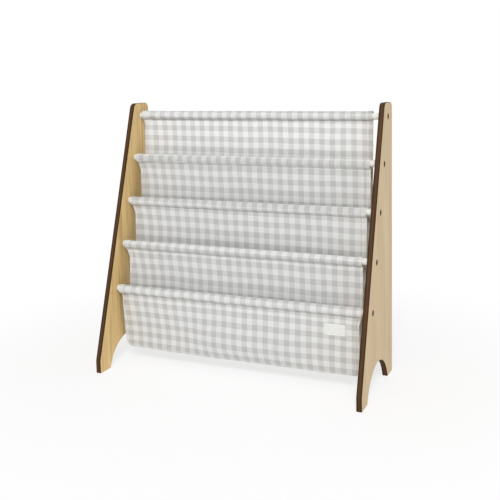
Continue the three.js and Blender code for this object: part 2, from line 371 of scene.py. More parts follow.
def gingham_material():
    """Checked cotton: each thread is coloured or white, and passes over and under the threads it crosses."""
    cloth = NodeMaterial("gingham")
    place = cloth.weave_place()
    wander = cloth.noise(place, 60, detail=1)
    parts = cloth.parts(place)
    thread_width = CHECK_PERIOD / THREADS_PER_PERIOD

    def threads(along, seed):
        """Thread number, coloured or not, round profile and shade of the threads across one direction."""
        count = cloth.maths("DIVIDE", along, thread_width)
        number = cloth.maths("FLOOR", count)
        middle = cloth.times(cloth.plus(number, 0.5), thread_width)
        from_band = cloth.maths("PINGPONG", middle, CHECK_PERIOD / 2)
        coloured = cloth.maths("LESS_THAN", from_band, CHECK_PERIOD / 4)
        across = cloth.minus(cloth.minus(count, number), 0.5)
        from_top = cloth.times(cloth.times(across, across), 4.0)
        profile = cloth.minus(1.0, from_top)
        shade = cloth.add("ShaderNodeTexWhiteNoise", noise_dimensions="1D")
        cloth.feed(shade.inputs["W"], cloth.plus(number, seed))
        return number, coloured, profile, shade.outputs["Value"]

    warp_number, warp_coloured, warp_profile, warp_shade = threads(parts[0], WARP_SHADE_SEED)
    weft_number, weft_coloured, weft_profile, weft_shade = threads(parts[1], WEFT_SHADE_SEED)
    warp_over = cloth.maths("PINGPONG", cloth.plus(warp_number, weft_number), 1.0)

    def whichever(first, second):
        warp_under = cloth.minus(1.0, warp_over)
        return cloth.plus(cloth.times(warp_over, first), cloth.times(warp_under, second))

    # A thread that passes under still shows at the sides of the one above it
    crisp = whichever(warp_coloured, weft_coloured)
    even = cloth.times(cloth.plus(warp_coloured, weft_coloured), 0.5)
    darkness = cloth.plus(cloth.times(crisp, CRISP_SHARE), cloth.times(even, 1 - CRISP_SHARE))
    darkness = cloth.times(darkness, cloth.remap(wander, *NOISE_RANGE, 0.93, 1.0))
    colour = cloth.blend(darkness, srgb(228, 229, 228), srgb(187, 186, 184))

    slub_warp = cloth.noise(cloth.stretched(place, (1.0, SLUB_STRETCH, 1)), SLUB_SCALE, detail=1)
    slub_weft = cloth.noise(cloth.stretched(place, (SLUB_STRETCH, 1.0, 1)), SLUB_SCALE, detail=1)
    slub = whichever(slub_warp, slub_weft)
    shade = whichever(warp_shade, weft_shade)
    slub_tone = cloth.remap(slub, 0.25, 0.75, 0.95, 1.02)
    tone = cloth.plus(slub_tone, cloth.remap(shade, 0, 1, -0.025, 0.015))
    faded = cloth.remap(wander, 0.35, 0.65, 0.985, 1.01)
    colour = cloth.blend(1.0, colour, cloth.times(tone, faded), "MULTIPLY")
    cloth.set("Base Color", colour)

    thread_height = cloth.remap(slub, 0.2, 0.8, 0.6, 1.0)
    weave = cloth.times(whichever(warp_profile, weft_profile), thread_height)
    cloth.set("Normal", cloth.bump(weave, 0.1 * MM, 0.45))
    cloth.set("Roughness", cloth.remap(slub, 0.2, 0.8, 0.94, 0.82))
    cloth.set("Specular IOR Level", 0.25)
    cloth.set("Subsurface Weight", CLOTH_GLOW)
    cloth.set("Subsurface Radius", (1, 1, 1))
    cloth.set("Subsurface Scale", CLOTH_GLOW_REACH)
    cloth.set("Sheen Weight", 0.12)
    cloth.set("Sheen Roughness", 0.5)
    return cloth.material


def thread_material():
    """Twisted white sewing thread."""
    thread = NodeMaterial("sewing_thread")
    place = thread.object_place()
    twist = thread.add("ShaderNodeTexWave", wave_type="BANDS", bands_direction="DIAGONAL")
    thread.fill(twist, Vector=place, Scale=700, Distortion=1.5, Detail=1)
    strands = twist.outputs["Fac"]
    thread.set("Base Color", thread.blend(strands, srgb(226, 225, 219), srgb(246, 246, 242)))
    thread.set("Roughness", thread.remap(strands, 0, 1, 0.75, 0.6))
    thread.set("Normal", thread.bump(strands, 0.05 * MM, 0.5))
    thread.set("Sheen Weight", 0.1)
    return thread.material


def label_material():
    """Bare woven tape with a fine ribbed face."""
    tape = NodeMaterial("woven_tape")
    place = tape.weave_place()
    parts = tape.parts(place)
    ribs = tape.maths("PINGPONG", tape.maths("DIVIDE", parts[1], LABEL_RIB), 1.0)
    yarns = tape.maths("PINGPONG", tape.maths("DIVIDE", parts[0], LABEL_YARN), 1.0)
    fibres = tape.noise(place, 2500, detail=2)
    height = tape.times(tape.remap(ribs, 0, 1, 0.4, 1), tape.remap(yarns, 0, 1, 0.6, 1))
    mottled = tape.remap(tape.noise(place, 120, detail=2), *NOISE_RANGE)
    colour = tape.blend(mottled, srgb(224, 225, 221), srgb(231, 232, 229))
    # Painted shade: the colour darkens between the ribs, where the weave is lowest.
    rib_groove_shade = tape.remap(height, 0.2, 1, 0.93, 1.0)
    tone = tape.times(rib_groove_shade, tape.remap(fibres, *NOISE_RANGE, 0.97, 1.01))
    tape.set("Base Color", tape.blend(1.0, colour, tone, "MULTIPLY"))
    tape.set("Roughness", tape.remap(fibres, *NOISE_RANGE, 0.72, 0.86))
    tape.set("Normal", tape.bump(height, 0.06 * MM, 0.5))
    tape.set("Sheen Weight", 0.08)
    return tape.material


def wood_face_material(name, pale, deep, vein, streak_strength):
    """Varnished veneer with upright grain: wide soft figure, narrow streaks and short pores."""
    wood = NodeMaterial(name)
    place = wood.object_place()
    figure = wood.noise(wood.stretched(place, (1, 1, 0.1)), 26, detail=3, roughness=0.55, distortion=0.6)
    streaks = wood.noise(wood.stretched(place, (1, 1, 0.02)), 210, detail=3, roughness=0.6)
    fine = wood.noise(wood.stretched(place, (1, 1, 0.015)), 900, detail=2, roughness=0.6)
    pores = wood.noise(wood.stretched(place, (1, 1, 0.05)), 1900, detail=1)
    colour = wood.blend(wood.remap(figure, 0.32, 0.68), deep, pale)
    colour = wood.blend(wood.remap(streaks, 0.48, 0.72, 0, streak_strength), colour, vein)
    colour = wood.blend(wood.remap(pores, 0.66, 0.8, 0, 0.3), colour, vein)
    tone = wood.remap(fine, *NOISE_RANGE, 0.95, 1.04)
    wood.set("Base Color", wood.blend(1.0, colour, tone, "MULTIPLY"))
    wood.set("Roughness", wood.remap(streaks, *NOISE_RANGE, 0.44, 0.58))
    grain = wood.plus(wood.times(fine, 0.6), wood.times(pores, 0.4))
    wood.set("Normal", wood.bump(grain, 0.12 * MM, 0.35))
    wood.set("Coat Weight", 0.12)
    wood.set("Coat Roughness", 0.35)
    return wood.material


def wood_edge_material(panel_middle, board_thickness):
    """Dark stained cut edge of the board, with plies that run along it, and painted shade that makes it
    nearly black at both corners.
    """
    edge = NodeMaterial("board_edge")
    place = edge.object_place()
    x = edge.parts(place)[0]
    across = edge.minus(edge.times(x, edge.maths("SIGN", x)), panel_middle)
    streaks = edge.noise(edge.stretched(place, (1, 0.02, 0.02)), 900, detail=3, roughness=0.6)
    broad = edge.noise(edge.stretched(place, (1, 0.05, 0.05)), 260, detail=2)
    wander = edge.noise(place, 22, detail=2)
    share = edge.plus(edge.maths("DIVIDE", across, board_thickness), 0.5)
    share = edge.plus(share, edge.remap(wander, *NOISE_RANGE, -0.05, 0.05, smooth=False))
    plies_and_corner_shade = edge.add("ShaderNodeValToRGB")
    edge.feed(plies_and_corner_shade.inputs[0], share)
    # Across the thickness: the plies' stained browns in the middle, and near-black towards both corners,
    # which is painted shade where the eased edge turns from the light.
    tones = [(0.0, srgb(28, 18, 8)), (0.18, srgb(50, 32, 14)), (0.42, srgb(80, 52, 22)),
             (0.62, srgb(78, 50, 21)), (0.84, srgb(58, 37, 16)), (1.0, srgb(34, 22, 10))]
    while len(plies_and_corner_shade.color_ramp.elements) < len(tones):
        plies_and_corner_shade.color_ramp.elements.new(0.5)
    for element, (position, colour) in zip(plies_and_corner_shade.color_ramp.elements, tones):
        element.position = position
        element.color = colour
    streak_tone = edge.remap(streaks, *NOISE_RANGE, 0.75, 1.25)
    tone = edge.times(streak_tone, edge.remap(broad, *NOISE_RANGE, 0.88, 1.12))
    colour = edge.blend(1.0, plies_and_corner_shade.outputs[0], tone, "MULTIPLY")
    from_middle = edge.maths("DIVIDE", edge.maths("ABSOLUTE", across), board_thickness / 2)
    at_corner = edge.remap(from_middle, 0.93, 0.99)
    # A lighter strip at both corners: painted highlight where the eased corner catches the light, mottled
    # like wear.
    corner_highlight_and_wear = edge.times(at_corner, edge.remap(wander, 0.42, 0.66, 0, 0.55))
    edge.set("Base Color", edge.blend(corner_highlight_and_wear, colour, srgb(150, 112, 78)))
    edge.set("Roughness", edge.remap(streaks, *NOISE_RANGE, 0.55, 0.75))
    edge.set("Specular IOR Level", 0.2)
    edge.set("Normal", edge.bump(streaks, 0.15 * MM, 0.5))
    return edge.material


def rod_material():
    """White paint over turned wood, with faint lengthwise brush marks."""
    paint = NodeMaterial("rod_paint")
    place = paint.object_place()
    brush = paint.noise(paint.stretched(place, (0.02, 1, 1)), 1300, detail=2)
    cloudy = paint.noise(place, 35, detail=3)
    colour = paint.blend(paint.remap(cloudy, *NOISE_RANGE), srgb(219, 221, 219), srgb(226, 228, 226))
    tone = paint.remap(brush, *NOISE_RANGE, 0.975, 1.01)
    paint.set("Base Color", paint.blend(1.0, colour, tone, "MULTIPLY"))
    paint.set("Roughness", paint.remap(cloudy, *NOISE_RANGE, 0.36, 0.48))
    paint.set("Normal", paint.bump(brush, 0.05 * MM, 0.4))
    paint.set("Coat Weight", 0.15)
    paint.set("Coat Roughness", 0.25)
    return paint.material


def screw_material():
    """Dark bronze plating, slightly uneven, rubbed brighter here and there."""
    metal = NodeMaterial("bronzed_steel")
    place = metal.object_place()
    grain = metal.noise(place, 3500, detail=2)
    rubbed = metal.noise(place, 420, detail=3, roughness=0.6)
    colour = metal.blend(metal.remap(rubbed, 0.45, 0.7), srgb(50, 36, 26), srgb(80, 60, 44))
    metal.set("Base Color", metal.blend(metal.remap(grain, *NOISE_RANGE, 0, 0.3), colour, srgb(34, 25, 18)))
    metal.set("Metallic", 0.45)
    metal.set("Specular IOR Level", 0.3)
    metal.set("Roughness", metal.remap(rubbed, *NOISE_RANGE, 0.62, 0.5))
    metal.set("Normal", metal.bump(grain, 0.03 * MM, 0.4))
    return metal.material


def floor_material():
    """Pale floor that keeps the shadow near the shelf and turns into the white background further out."""
    floor = NodeMaterial("pale_floor")
    place = floor.object_place()
    distance = floor.add("ShaderNodeVectorMath", operation="LENGTH")
    floor.feed(distance.inputs[0], place)
    far = floor.remap(distance.outputs["Value"], FLOOR_FADE_START, FLOOR_FADE_END, FLOOR_GLOW_SHARE, 1)
    speckle = floor.remap(floor.noise(place, 300, detail=2), *NOISE_RANGE)
    floor.set("Base Color", floor.blend(speckle, srgb(251, 251, 251), srgb(254, 254, 254)))
    floor.set("Roughness", 0.95)
    floor.set("Specular IOR Level", 0.05)
    white = floor.add("ShaderNodeEmission").outputs[0]
    seen = floor.times(far, floor.seen_rays())
    mixed = floor.mixed_shaders(seen, floor.shader.outputs[0], white)
    floor.feed(floor.tree.nodes["Material Output"].inputs["Surface"], mixed)
    return floor.material


class Rod:
    """A rod's axis, and where its sleeve starts, ends and has its seam."""

    def __init__(self, number):
        low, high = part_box(f"rod_{number}")
        sleeve_low, sleeve_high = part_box(f"sleeve_{number}")
        self.number = number
        self.radius = (high.z - low.z) / 2
        self.y = (low.y + high.y) / 2
        self.z = (low.z + high.z) / 2
        self.left = sleeve_low.x
        self.right = sleeve_high.x
        self.seam_z = sleeve_low.z


def ruffle(x, number):
    """Uneven ripples along a seam, mostly between -1 and 1."""
    place = Vector((x / PUCKER_SPACING, RUFFLE_SEED * number, 0))
    fine = noise.noise(place * RUFFLE_FINE_SCALE)
    return RUFFLE_COARSE * noise.noise(place) + RUFFLE_FINE * fine


def sway(rod, x, below):
    """How far the cloth that hangs from a rod lies behind its even curve, at a distance below the seam."""
    turns = WAVE_COUNT * x / shelf_width + WAVE_PHASE_SHARE * (rod.number - 1)
    wave = WAVE_HEIGHT * smoothstep(below, 0, WAVE_RISE) * math.sin(2 * math.pi * turns)
    depth = below / PUCKER_PEAK
    lean = PUCKER_LEAN * below
    pucker = PUCKER_HEIGHT * depth * math.exp(1 - depth) * ruffle(x + lean, rod.number)
    place = Vector((x / DENT_SPACING, below / DENT_SPACING, DENT_SEED * rod.number))
    dent = DENT_HEIGHT * smoothstep(below, 0, DENT_RISE) * noise.noise(place)
    slanted = (x + WRINKLE_SLANT * below) / WRINKLE_SPACING
    place = Vector((slanted, below / (WRINKLE_STRETCH * WRINKLE_SPACING), WRINKLE_SEED * rod.number))
    wrinkle = WRINKLE_HEIGHT * smoothstep(below, 0, DENT_RISE / 2) * noise.noise(place)
    return wave + pucker + dent + wrinkle


def belly(x, below, length):
    """How far forward the front of the lowest pocket lies, as a share of the most. It is none at the seam
    and none at the fold."""
    across = lerp(BELLY_LEFT_SHARE, 1, smoothstep(x, *BELLY_RISE)) * (1 - smoothstep(x, *BELLY_FALL))
    return across * smoothstep(below, *BELLY_TOP) * (1 - smoothstep(below, BELLY_LOW, length))


def check_place(rod, u, below):
    """Where a coloured column lies, and how far below a rod's seam a coloured row lies, both as seen at a
    distance below that seam, or above it where that is negative."""
    checks = CHECKS[rod.number - 1]
    share = (u - pocket_left) / (pocket_right - pocket_left)
    lean = checks.left_lean * (1 - share) * smoothstep(below, 0, LEAN_REACH)
    column = lerp(checks.left_column, checks.right_column, share) + lean
    pulled = smoothstep(below, -SEAM_PULL_ABOVE, 0) * (1 - smoothstep(below, *SEAM_PULL_BELOW))
    return column, lerp(checks.left_row, checks.right_row, share) + checks.seam_pull * pulled


def pattern_place(u, below, column, row, number):
    """A place in the pattern, counted from a coloured column and row, with small uneven shifts of the
    threads. The number is that of the rod or the pocket."""
    def wander(seed):
        return WARP_SHIFT * noise.noise(Vector((u / WARP_SPACING, below / WARP_SPACING, seed)))
    return u - column + wander(COLUMN_SEED + number), below - row + wander(ROW_SEED + number)


def flared(u, left, right):
    """Where a place across the flat cloth comes to lie when the cloth's side edges are at left and right."""
    x = u + (left - pocket_left) * math.exp(-max(u - pocket_left, 0) / FLARE_REACH)
    return x + (right - pocket_right) * math.exp(-max(pocket_right - u, 0) / FLARE_REACH)


def edge_flow(rod_edge, settled_edge, below):
    """Where a side edge lies: at the sleeve's end above the seam, and at its settled place below it."""
    return lerp(rod_edge, settled_edge, smoothstep(below, EDGE_FLOW_START, EDGE_FLOW_END))


class Pocket:
    """One pocket panel: a strip of cloth that hangs as a U from an upper and a lower rod.
    Distances along it run from its lowest line, positive up the back and negative up the front."""

    def __init__(self, number):
        self.number = number
        self.upper = rods[number - 1]
        self.lower = rods[number]
        self.last = number == ROD_COUNT - 1
        self.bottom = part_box(f"pocket_{number}")[0].z + SOLID_CLOTH / 2
        back_y = self.upper.y - TAIL_STEP
        front_y = self.lower.y + TAIL_STEP
        back_height = self.upper.seam_z - SEAM_SLIT - self.bottom
        front_height = self.lower.seam_z - SEAM_SLIT - self.bottom
        self.a = catenary_parameter(back_y - front_y, back_height, front_height)
        self.middle = front_y + self.a * math.acosh(1 + front_height / self.a)
        self.back_length = self.along(back_height)
        self.front_length = self.along(front_height)

    def along(self, height):
        return math.sqrt((height + self.a) ** 2 - self.a ** 2)

    def edges(self, s):
        """The left and right side edges at a distance along the cloth. The back of the first pocket and
        the front of the last one lie a little further to the left."""
        rod, below = (self.upper, self.back_length - s) if s > 0 else (self.lower, self.front_length + s)
        left = edge_flow(rod.left, pocket_left, below)
        right = edge_flow(rod.right, pocket_right, below)
        if (self.last and s < 0) or (self.number == 1 and s > 0):
            from_fold = smoothstep(abs(s) / self.front_length, 0, LEFT_SPREAD_SHARE)
            left -= LEFT_SPREAD * from_fold * smoothstep(below, 0, EDGE_FLOW_END)
        if self.number == 1 and s > 0:
            right -= TOP_RIGHT_DRAW_IN * smoothstep(below, 0, EDGE_FLOW_END)
        draw_in = BOTTOM_DRAW_IN * math.exp(-((s / BOTTOM_DRAW_REACH) ** 2))
        return left + draw_in, right - draw_in

    def surface(self, u, s):
        """A point of the cloth's middle, and the direction towards the books there. u is its place across
        the cloth when that is flat, so the columns of checks bend with the side edges."""
        x = flared(u, *self.edges(s))
        front_sway = sway(self.lower, x, self.front_length + s)
        back_sway = sway(self.upper, x, self.back_length - s)
        shift = lerp(front_sway, back_sway, (1 + math.tanh(s / TURN_REACH)) / 2)
        hypotenuse = math.hypot(self.a, s)
        droop_place = Vector((x / BOTTOM_DROOP_SPACING, DROOP_SEED * self.number, 0))
        droop = BOTTOM_DROOP * noise.noise(droop_place)
        if self.last:
            droop += BOTTOM_LEFT_LIFT * (1 - smoothstep(x, pocket_left, pocket_left + BOTTOM_LEFT_REACH))
        droop *= math.exp(-((s / BOTTOM_DROOP_REACH) ** 2))
        y = self.middle + self.a * math.asinh(s / self.a) + shift
        if self.last and s < 0:
            y -= BELLY_HEIGHT * belly(x, self.front_length + s, self.front_length)
        z = self.bottom + hypotenuse - self.a + droop
        return Vector((x, y, z)), Vector((0, -s / hypotenuse, self.a / hypotenuse))

    def rows(self):
        """Distances along the cloth, closer together at the fold where it turns."""
        up = [0.0]
        while up[-1] < max(self.back_length, self.front_length):
            up.append(up[-1] + min(ROW_STEP_AT_FOLD + ROW_STEP_GROWTH_SHARE * up[-1], ROW_STEP_LARGEST))
        back = [s for s in up if s < self.back_length - ROW_STEP_LARGEST / 2] + [self.back_length]
        front = [-s for s in up[1:] if s < self.front_length - ROW_STEP_LARGEST / 2] + [-self.front_length]
        return back[::-1] + front

    def weave_place(self, flat_u, s):
        """Where a point lies in the pattern. Coloured bands are centred on whole periods. The lowest pocket
        also shows its front, so its pattern eases from the upper rod's places to the lower rod's."""
        below = self.back_length - s
        column, row = check_place(self.upper, flat_u, below)
        if self.last:
            share = 1 - smoothstep(s, 0, self.back_length / 2)
            total = self.back_length + self.front_length
            _, lower_row = check_place(self.lower, 0, self.front_length)
            _, upper_row = check_place(self.upper, 0, self.back_length)
            periods = round((total - lower_row - upper_row) / CHECK_PERIOD)
            front_below = self.front_length + s
            pull = belly(flat_u, front_below, self.front_length) if s < 0 else 0
            front_column, front_row = check_place(self.lower, flat_u, front_below)
            front_row += BELLY_ROW_PULL * max(pull, 0)
            row = lerp(row, total - front_row - periods * CHECK_PERIOD, share)
            column = lerp(column, front_column + BELLY_COLUMN_PULL * pull, share)
        return pattern_place(flat_u, below, column, row, self.number)


def catenary_parameter(span, first_height, second_height):
    """A hanging strip takes the shape of a catenary. This finds its parameter by halving."""
    low, high = span / CATENARY_DEEPEST, span * CATENARY_SHALLOWEST
    for _ in range(CATENARY_HALVINGS):
        a = (low + high) / 2
        width = a * (math.acosh(1 + first_height / a) + math.acosh(1 + second_height / a))
        low, high = (a, high) if width < span else (low, a)
    return (low + high) / 2


class Sleeve:
    """The cloth tube that is stitched round a rod, closed by a tail where its two layers lie together."""

    def __init__(self, rod):
        self.rod = rod
        self.path = sleeve_section(rod)
        self.length = sum((b - a).length for a, b in zip(self.path, self.path[1:]))

    def surface(self, u, q):
        """A point of the cloth's middle and the direction away from the rod. q runs from the front seam
        over the rod to the back seam."""
        share = q / self.length * (len(self.path) - 1)
        index = min(int(share), len(self.path) - 2)
        place = self.path[index].lerp(self.path[index + 1], share - index)
        before = self.path[max(index - 1, 0)]
        after = self.path[min(index + 2, len(self.path) - 1)]
        along = (after - before).normalized()
        outward = Vector((0, -along.y, along.x))
        from_seam = min(q, self.length - q)
        left = edge_flow(self.rod.left, pocket_left, -from_seam)
        right = edge_flow(self.rod.right, pocket_right, -from_seam)
        x = flared(u, left, right)
        depth = from_seam / PUCKER_PEAK
        side = 1 if q < self.length / 2 else -1
        ripple = ruffle(x + SLEEVE_PUCKER_LEAN * from_seam, self.rod.number)
        pucker = SLEEVE_PUCKER_SHARE * PUCKER_HEIGHT * depth * math.exp(1 - depth) * ripple
        half = self.length / 2
        on_rod = smoothstep(from_seam, SLEEVE_ON_ROD_START * half, SLEEVE_ON_ROD_END * half)
        spot = Vector((x / CRUMPLE_WIDTH, q / CRUMPLE_LENGTH, CRUMPLE_SEED * self.rod.number))
        crumple = CRUMPLE_HEIGHT * noise.noise(spot)
        shift = lerp(-side * pucker, 0, on_rod) + smoothstep(from_seam, 0, CRUMPLE_RISE) * crumple
        point = Vector((x, self.rod.y + place.x, self.rod.z + place.y)) + outward * shift
        return point, outward

    def rows(self):
        return [self.length * row / SLEEVE_STEPS for row in range(SLEEVE_STEPS + 1)]

    def weave_place(self, flat_u, q):
        column, row = check_place(self.rod, flat_u, -q)
        return pattern_place(flat_u, -q, column, row, self.rod.number)


def sleeve_section(rod):
    """The sleeve's middle line as depth and height from the rod's axis: a round tube that hangs on the
    rod, wider than the rod, and narrows to its tail. It is rounded and evenly divided."""
    top = rod.number == 1
    radius = TOP_SLEEVE_RADIUS if top else SLEEVE_RADIUS
    slack = TOP_SLEEVE_SLACK if top else SLEEVE_SLACK
    centre = rod.radius + slack + CLOTH_THICKNESS / 2 - radius
    tail_bottom = rod.seam_z - rod.z
    tail_top = tail_bottom + TAIL_HEIGHT
    reach = math.hypot(TAIL_STEP, tail_top - centre)
    angle = math.acos(radius / reach) - math.asin(TAIL_STEP / reach)
    start = -math.pi / 2 - angle
    turn = 2 * math.pi - 2 * angle
    arc = [start - turn * step / SLEEVE_ARC_STEPS for step in range(SLEEVE_ARC_STEPS + 1)]
    points = [Vector((-TAIL_STEP, tail_bottom)), Vector((-TAIL_STEP, tail_top))]
    points += [Vector((radius * math.cos(a), centre + radius * math.sin(a))) for a in arc]
    points += [Vector((TAIL_STEP, tail_top)), Vector((TAIL_STEP, tail_bottom))]
    for _ in range(SLEEVE_ROUNDING):
        inner = []
        for a, b in zip(points, points[1:]):
            inner += [a.lerp(b, CORNER_CUT), a.lerp(b, 1 - CORNER_CUT)]
        points = [points[0], *inner, points[-1]]
    return evenly_divided(points, SLEEVE_STEPS)


def evenly_divided(points, steps):
    """Points at equal distances along a line of points."""
    lengths = [0.0]
    for a, b in zip(points, points[1:]):
        lengths.append(lengths[-1] + (b - a).length)
    result = []
    index = 0
    for step in range(steps + 1):
        wanted = lengths[-1] * step / steps
        while index < len(points) - 2 and lengths[index + 1] < wanted:
            index += 1
        share = (wanted - lengths[index]) / (lengths[index + 1] - lengths[index])
        result.append(points[index].lerp(points[index + 1], min(share, 1)))
    return result


def hem_places():
    """Places across a hem, from its turned-in end to the cloth's own layer: the distance from the folded
    edge, how far it is lifted off the cloth, and its distance from that edge when it is unfolded."""
    def level(start, end, lift):
        count = max(round(abs(end - start) / HEM_FLAT_STEP), 1)
        return [(lerp(start, end, step / count), lift) for step in range(count + 1)]

    def fold(centre, lift, radius, steps):
        """A half circle of places, bulging away from the folded edge where the radius is positive."""
        angles = [math.pi * step / steps for step in range(1, steps)]
        return [(centre + radius * math.sin(t), lift - radius * math.cos(t)) for t in angles]

    half = LAYER_STEP / 2
    places = level(HEM_WIDTH - HEM_TURN, HEM_WIDTH - half, LAYER_STEP)
    places += fold(HEM_WIDTH - half, LAYER_STEP + half, half, HEM_TURN_STEPS)
    places += level(HEM_WIDTH - half, LAYER_STEP, 2 * LAYER_STEP)
    places += fold(LAYER_STEP, LAYER_STEP, -LAYER_STEP, HEM_FOLD_STEPS)
    places += [(LAYER_STEP, 0)]
    flat = LAYER_STEP
    unfolded = [flat]
    for (x, lift), (next_x, next_lift) in zip(places[::-1], places[-2::-1]):
        flat -= math.hypot(next_x - x, next_lift - lift)
        unfolded.append(flat)
    return [(x, lift, flat) for (x, lift), flat in zip(places, unfolded[::-1])]


def cloth_columns():
    """Stations from left to right over a hemmed cloth: place across, lift, and place when unfolded."""
    hem = hem_places()
    start = pocket_left + LAYER_STEP
    end = pocket_right - LAYER_STEP
    count = round((end - start) / COLUMN_STEP)
    left = [(pocket_left + x, lift, pocket_left + flat) for x, lift, flat in hem]
    body = [(lerp(start, end, step / count), 0, lerp(start, end, step / count)) for step in range(1, count)]
    right = [(pocket_right - x, lift, pocket_right - flat) for x, lift, flat in hem[::-1]]
    return left + body + right


def cloth_mesh(name, strip):
    """A grid over a strip of cloth and its hems, with the place of each corner in the pattern."""
    columns = cloth_columns()
    rows = strip.rows()
    vertices = []
    weave = []
    for station in rows:
        for u, lift, flat in columns:
            point, towards_books = strip.surface(u, station)
            vertices.append(point + towards_books * lift)
            weave.append(strip.weave_place(flat, station))
    return grid_mesh(name, vertices, weave, len(columns))


def grid_mesh(name, vertices, weave, width):
    """Faces between rows of points, each row as wide as given, with each point's place in the weave."""
    faces = []
    for row in range(len(vertices) // width - 1):
        for column in range(width - 1):
            corner = row * width + column
            faces.append((corner, corner + width, corner + width + 1, corner + 1))
    mesh = bpy.data.meshes.new(name)
    mesh.from_pydata(vertices, [], faces)
    layer = mesh.uv_layers.new(name="weave")
    for loop in mesh.loops:
        layer.data[loop.index].uv = weave[loop.vertex_index]
    mesh.shade_smooth()
    return mesh


def thicken(piece, thickness):
    solidify = piece.modifiers.new("thickness", "SOLIDIFY")
    solidify.thickness = thickness
    solidify.offset = 0
    return piece


class Stitches:
    """Gathers single stitches into one mesh."""

    def __init__(self):
        self.vertices = []
        self.faces = []

    def add(self, start, end, outward):
        """One stitch between two points of the cloth's surface, which dips into it at both ends."""
        middle = (start + end) / 2
        along = (end - start).normalized()
        sideways = outward.cross(along).normalized()
        shoulder = outward * STITCH_RISE * STITCH_SHOULDER_SHARE
        stations = [
            start - outward * STITCH_SINK,
            start.lerp(middle, STITCH_SHOULDER_PLACE) + shoulder,
            middle + outward * STITCH_RISE,
            end.lerp(middle, STITCH_SHOULDER_PLACE) + shoulder,
            end - outward * STITCH_SINK,
        ]
        first = len(self.vertices)
        for place in stations:
            for side in range(STITCH_SIDES):
                angle = 2 * math.pi * side / STITCH_SIDES
                offset = sideways * math.cos(angle) + outward * math.sin(angle)
                self.vertices.append(place + offset * THREAD_RADIUS)
        for ring in range(len(stations) - 1):
            for side in range(STITCH_SIDES):
                a = first + ring * STITCH_SIDES + side
                b = first + ring * STITCH_SIDES + (side + 1) % STITCH_SIDES
                self.faces.append((a, b, b + STITCH_SIDES, a + STITCH_SIDES))
        last = len(self.vertices) - STITCH_SIDES
        self.faces.append(tuple(first + side for side in range(STITCH_SIDES))[::-1])
        self.faces.append(tuple(last + side for side in range(STITCH_SIDES)))

    def run(self, point_at, length):
        """A row of stitches along a line. point_at gives a point and its outward direction at a distance."""
        count = int((length - STITCH_LENGTH) / STITCH_PITCH)
        for number in range(count + 1):
            start = number * STITCH_PITCH + (STITCH_PITCH - STITCH_LENGTH) / 2
            first, outward = point_at(start)
            second, _ = point_at(start + STITCH_LENGTH)
            self.add(first, second, outward)

    def piece(self, name):
        mesh = bpy.data.meshes.new(name)
        mesh.from_pydata(self.vertices, [], self.faces)
        mesh.shade_smooth()
        return add_object(name, mesh, thread)


def stitch_hems(stitches, strip, start, end):
    """Rows of stitches along both hems, seen on both sides of the cloth."""
    inset = HEM_WIDTH - HEM_STITCH_INSET
    for u in (pocket_left + inset, pocket_right - inset):
        for sign, lift in ((1, 2 * LAYER_STEP + CLOTH_THICKNESS / 2), (-1, CLOTH_THICKNESS / 2)):
            def point_at(distance, u=u, sign=sign, lift=lift):
                point, normal = strip.surface(u, start + (end - start) * distance / abs(end - start))
                return point + normal * sign * lift, normal * sign
            stitches.run(point_at, abs(end - start))


def stitch_seam(stitches, sleeve):
    """The seam below a rod, as rows of stitches on the front and back of the sleeve's tail."""
    width = pocket_right - pocket_left
    for q in (SEAM_STITCH_HEIGHT, sleeve.length - SEAM_STITCH_HEIGHT):
        def point_at(distance, q=q):
            u = pocket_left + distance
            near_edge = min(distance, width - distance) < HEM_WIDTH
            lift = CLOTH_THICKNESS / 2 + (2 * LAYER_STEP if near_edge else 0)
            point, normal = sleeve.surface(u, q)
            return point + normal * lift, normal
        stitches.run(point_at, width)


def make_sleeve(rod):
    sleeve = Sleeve(rod)
    name = f"sleeve_cloth_{rod.number}"
    piece = thicken(add_object(name, cloth_mesh(name, sleeve), gingham), CLOTH_THICKNESS)
    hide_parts(f"sleeve_{rod.number}")
    stitches = Stitches()
    stitch_seam(stitches, sleeve)
    stitch_hems(stitches, sleeve, HEM_STITCH_START, sleeve.length - HEM_STITCH_START)
    seam = stitches.piece(f"seam_stitches_{rod.number}")


def make_pocket(number):
    pocket = Pocket(number)
    name = f"pocket_cloth_{number}"
    piece = thicken(add_object(name, cloth_mesh(name, pocket), gingham), CLOTH_THICKNESS)
    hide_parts(f"pocket_{number}")
    stitches = Stitches()
    top = pocket.back_length - HEM_STITCH_START
    stitch_hems(stitches, pocket, top, HEM_STITCH_START - pocket.front_length)
    hems = stitches.piece(f"hem_stitches_{number}")
    return pocket


def make_label(pocket):
    """A bare label on the front of the lowest pocket, with a raised border and stitches round it."""
    low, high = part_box("sewn_label")
    top = -pocket.along(high.z - pocket.bottom)
    bottom = -pocket.along(low.z - pocket.bottom)
    width, height = high.x - low.x, high.z - low.z
    columns = round(width / LABEL_STEP)
    rows = round(height / LABEL_STEP)
    rise = CLOTH_THICKNESS / 2 + LABEL_LIFT + LABEL_THICKNESS / 2

    def place(across, down, lift):
        point, normal = pocket.surface(low.x + across, lerp(top, bottom, down / height))
        return point - normal * lift, -normal

    vertices = []
    weave = []
    for row in range(rows + 1):
        for column in range(columns + 1):
            across, down = width * column / columns, height * row / rows
            inside = min(across, width - across, down, height - down)
            border = LABEL_BORDER_RISE * (1 - smoothstep(inside, *LABEL_BORDER_FALL))
            vertices.append(place(across, down, rise + border)[0])
            weave.append((across, down))
    mesh = grid_mesh("label_tape", vertices, weave, columns + 1)
    piece = thicken(add_object("label_tape", mesh, tape), LABEL_THICKNESS)
    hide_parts("sewn_label")

    stitches = Stitches()
    inset = LABEL_STITCH_INSET
    surface = rise + LABEL_THICKNESS / 2
    for down in (inset, height - inset):
        stitches.run(lambda d, down=down: place(inset + d, down, surface), width - 2 * inset)
    for across in (inset, width - inset):
        stitches.run(lambda d, across=across: place(across, inset + d, surface), height - 2 * inset)
    border = stitches.piece("label_stitches")


